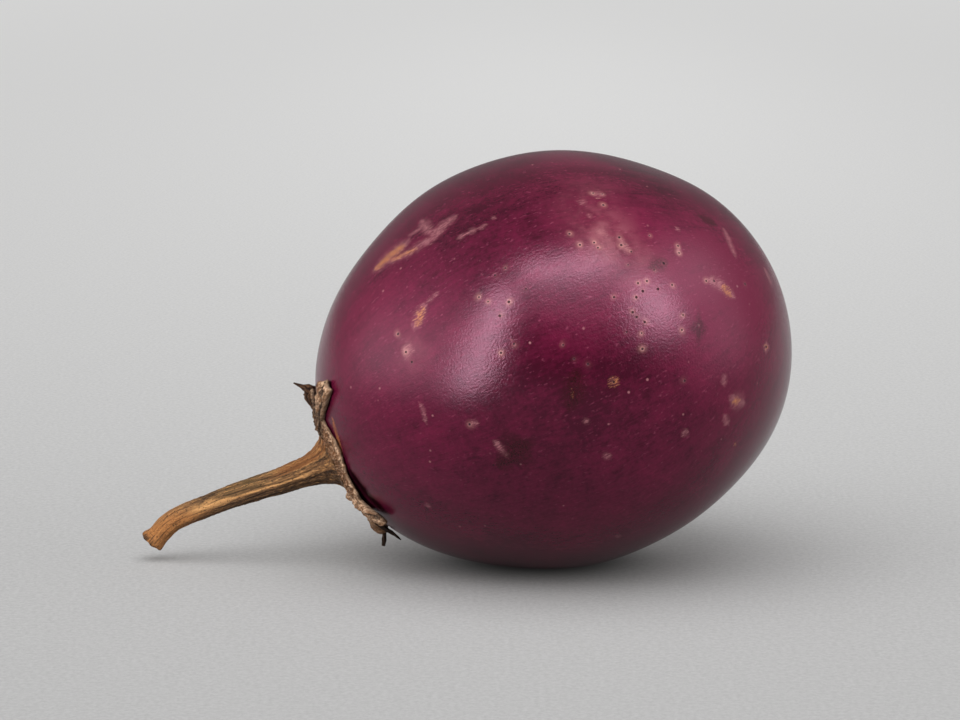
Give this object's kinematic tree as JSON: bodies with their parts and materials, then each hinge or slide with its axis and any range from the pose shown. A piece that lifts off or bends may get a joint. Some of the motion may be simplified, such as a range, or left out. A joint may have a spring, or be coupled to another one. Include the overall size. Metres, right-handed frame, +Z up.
{
  "type": "eggplant",
  "caption": "Round purple eggplant lying on its side on a small flat spot, with a dried lobed calyx and a slightly bent dry stem.",
  "frame": {"origin": "middle of the small flat spot that the fruit rests on, level with the table", "axes": "+Z up, -X towards the stem, +X towards the blossom end, -Y towards the viewer"},
  "size_m": [0.1359, 0.0882, 0.0869],
  "materials": {
    "skin": "thin waxy plant skin, semi-gloss, purple with pale streaks, pits and corky scars",
    "husk": "dried sepals, matte, wrinkled and cracked, grey-brown",
    "stalk": "dried stalk, matte, ridged along its length, tan to olive brown"
  },
  "bodies": {
    "root": {"fruit": "skin", "calyx": "husk", "stem": "stalk"}
  },
  "joints": []
}
